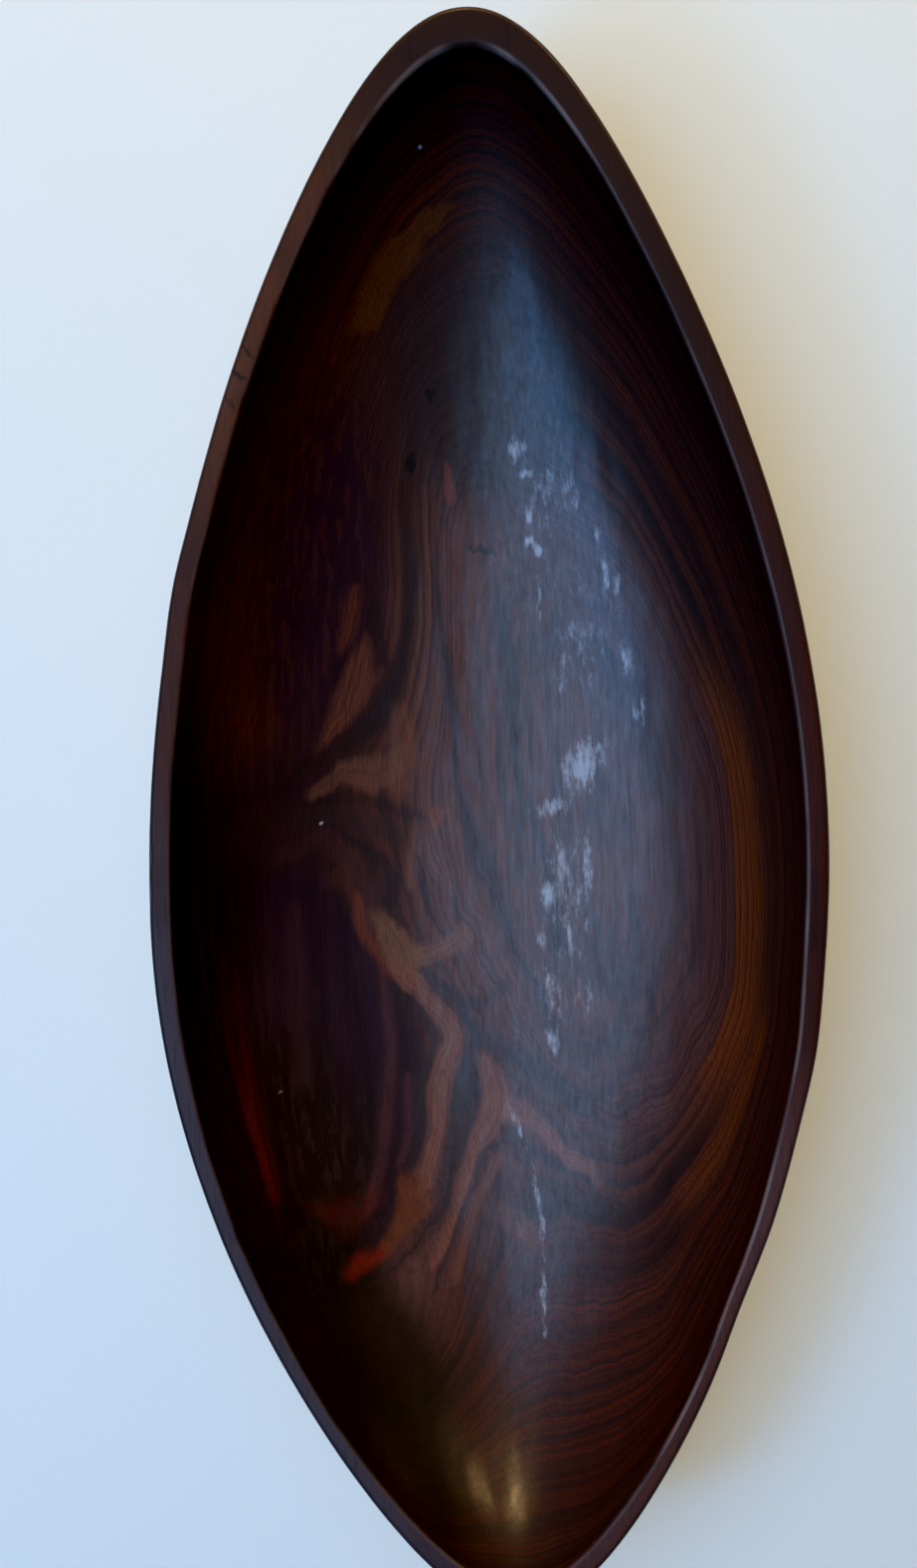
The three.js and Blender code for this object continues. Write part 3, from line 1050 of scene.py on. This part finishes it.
    onRim = fade(rimPlace, 0.15, 0.4) * (1 - fade(rimPlace, 0.62, 0.85))
    leftRim = mix(fade(y, 125.0, 70.0), tones["rim, left fore"], tones["rim, left middle"])
    # aft, the left rim takes a blue-grey painted sheen
    leftRim = mix(fade(y, 30.0, -50.0), leftRim, tones["rim, left aft, with painted sheen"])
    rightRim = mix(fade(y, -60.0, -120.0), tones["rim, right fore"], tones["rim, right aft"])
    rightRim = mix(fade(y, -130.0, -175.0), rightRim, tones["rim, stern"])
    rightRim = mix(fade(y, 60.0, 150.0), rightRim, tones["rim, bow"])
    rimColour = mix(fade(x, -60.0, 60.0), leftRim, rightRim)
    rimColour = mix(fade(y, 170.0, 225.0), rimColour, tones["rim, bow"])
    rimColour = mix(fade(fibre, 0.45, 0.75) * 0.45, rimColour, tones["dark"])
    rimColour = mix(fade(cloud, 0.45, 0.7) * 0.35, rimColour, tones["dark"])
    for name, mark in rimMarks.items():
        rimColour = brushed(rimColour, name, mark)
    colour = mix(onRim, colour, rimColour)
    # painted highlight: a pale line on the rim's inner edge, where it catches the light
    innerEdge = fade(rimPlace, 0.6, 0.72) * (1 - fade(rimPlace, 0.78, 0.92))
    lit = 0.2 + fade(x, 20.0, 60.0) * fade(y, 40.0, -40.0) * 0.5 + fade(y, 170.0, 200.0) * 0.5
    paintedHighlight = innerEdge * lit * fade(cloud, 0.3, 0.6)
    colour = mix(paintedHighlight, colour, tones["paintedHighlight"])

    # the hollow is oiled less and less up its walls
    upTheWall = inHollow * fade(z, 24.0, 58.0)
    oiled = (oil["least"] + polish * oil["polished"]) * (1 - onRim * oil["lessOnRim"])
    oiled = oiled * (1 - upTheWall * oil["lessUpTheWall"]) * (1 - inEye * oil["lessInEye"])
    oiled = oiled * (1 - leftFloor * oil["lessOnLeftFloor"])
    oiled = oiled * (1 - patch(**oil["dryStern"]) * oil["lessByStern"])
    poreSizes = {"Strength": surface["pores"], "Distance": surface["poreDepth"], "Height": fibre}
    pores = start.node("ShaderNodeBump", {}, poreSizes, "Normal")
    shader = start.node(
        "ShaderNodeBsdfPrincipled",
        {},
        {
            "Base Color": colour,
            "Roughness": surface["roughness"] + cloud * surface["clouded"] + bloom * surface["bloomed"],
            "Specular IOR Level": surface["specular"],
            "Normal": pores,
            "Coat Weight": oiled,
            "Coat Roughness": oil["roughness"],
            "Coat IOR": 1.5,
        },
    )
    end = tree.nodes.new("ShaderNodeOutputMaterial")
    tree.links.new(shader.socket, end.inputs["Surface"])
    return wood


wood = oiledWood()
print("wood mixed")

shape, socketIds = bowlTree(bowlSizes, profileRings, wood)
bowl = grown("carved_bowl", shape, bowlSizes, socketIds)
print("bowl carved:", len(bowl.data.polygons), "faces")
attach(bowl, "root")
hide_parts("bowl")

floorSizes = {"halfWidth": 12.0, "drop": 0.0002, "colour": (0.54, 0.62, 0.62), "roughness": 0.9}
floorMesh = bpy.data.meshes.new("floor")
half, level = floorSizes["halfWidth"], -floorSizes["drop"]
floorCorners = [(-half, -half, level), (half, -half, level), (half, half, level), (-half, half, level)]
floorMesh.from_pydata(floorCorners, [], [(0, 1, 2, 3)])
floor = bpy.data.objects.new("floor", floorMesh)
scene.collection.objects.link(floor)
pale = bpy.data.materials.new("Pale floor")
pale.use_nodes = True
paleShader = pale.node_tree.nodes["Principled BSDF"]
paleShader.inputs["Base Color"].default_value = (*floorSizes["colour"], 1)
paleShader.inputs["Roughness"].default_value = floorSizes["roughness"]
floorMesh.materials.append(pale)

camera = {
    "height": 0.78, "aim": (-0.00825, 0.0076), "turn": math.radians(-1.99),
    "lens": 36.24, "sensor": 24.0, "nearest": 0.01,
}
eye = bpy.data.objects.new("camera", bpy.data.cameras.new("camera"))
scene.collection.objects.link(eye)
eye.location = (*camera["aim"], camera["height"])
eye.rotation_euler = (0, 0, camera["turn"])
eye.data.sensor_fit = "VERTICAL"
eye.data.sensor_height = camera["sensor"]
eye.data.lens = camera["lens"]
eye.data.clip_start = camera["nearest"]
scene.camera = eye

# Light, from panels that face straight down. The warm lamps throw no shadow, so that they only fill.
studio = {
    "window": {
        "at": (-0.55, -0.01, 1.42), "size": (1.4, 0.88), "turn": 18, "power": 13.6,
        "colour": (0.32, 0.58, 1.0),
    },
    "sky round the window": {
        "at": (-0.74, 0.0, 1.45), "size": (2.4, 1.15), "turn": 18, "power": 16.5,
        "colour": (0.38, 0.64, 1.0),
    },
    "top of the sky": {
        "at": (-1.00, -0.42, 1.42), "size": (0.6, 0.24), "turn": 18, "power": 10.5,
        "colour": (0.1, 0.42, 1.0),
    },
    "lamp over the bow": {
        "at": (-0.05, 2.4, 1.85), "size": (0.26, 0.26), "power": 104.0,
        "colour": (1.0, 0.66, 0.28), "shadow": False,
    },
    "glow round the lamp": {
        "at": (0.05, 3.1, 1.7), "size": (1.7, 1.2), "power": 84.0,
        "colour": (1.0, 0.6, 0.2), "shadow": False,
    },
    "lamp to the right": {
        "at": (1.62, 2.13, 1.35), "size": (0.14, 0.14), "power": 66.0,
        "colour": (1.0, 0.62, 0.24), "shadow": False,
    },
}
for name, light in studio.items():
    area = bpy.data.lights.new(name, "AREA")
    area.shape = "ELLIPSE"
    area.size, area.size_y = light["size"]
    area.energy = light["power"]
    area.color = light["colour"]
    area.use_shadow = light.get("shadow", True)
    lamp = bpy.data.objects.new(name, area)
    scene.collection.objects.link(lamp)
    lamp.location = light["at"]
    lamp.rotation_euler = (0, 0, math.radians(light.get("turn", 0)))
print("lights set:", len(studio))

room = {"colour": (1.0, 0.8, 0.55), "strength": 0.01, "black": (0.0022, 0.0026, 0.0034)}
world = bpy.data.worlds.new("room")
scene.world = world
world.use_nodes = True
world.node_tree.nodes["Background"].inputs["Color"].default_value = (*room["colour"], 1)
world.node_tree.nodes["Background"].inputs["Strength"].default_value = room["strength"]
scene.view_settings.view_transform = "Standard"
scene.view_settings.use_curve_mapping = True
scene.view_settings.curve_mapping.black_level = room["black"]
scene.view_settings.curve_mapping.update()
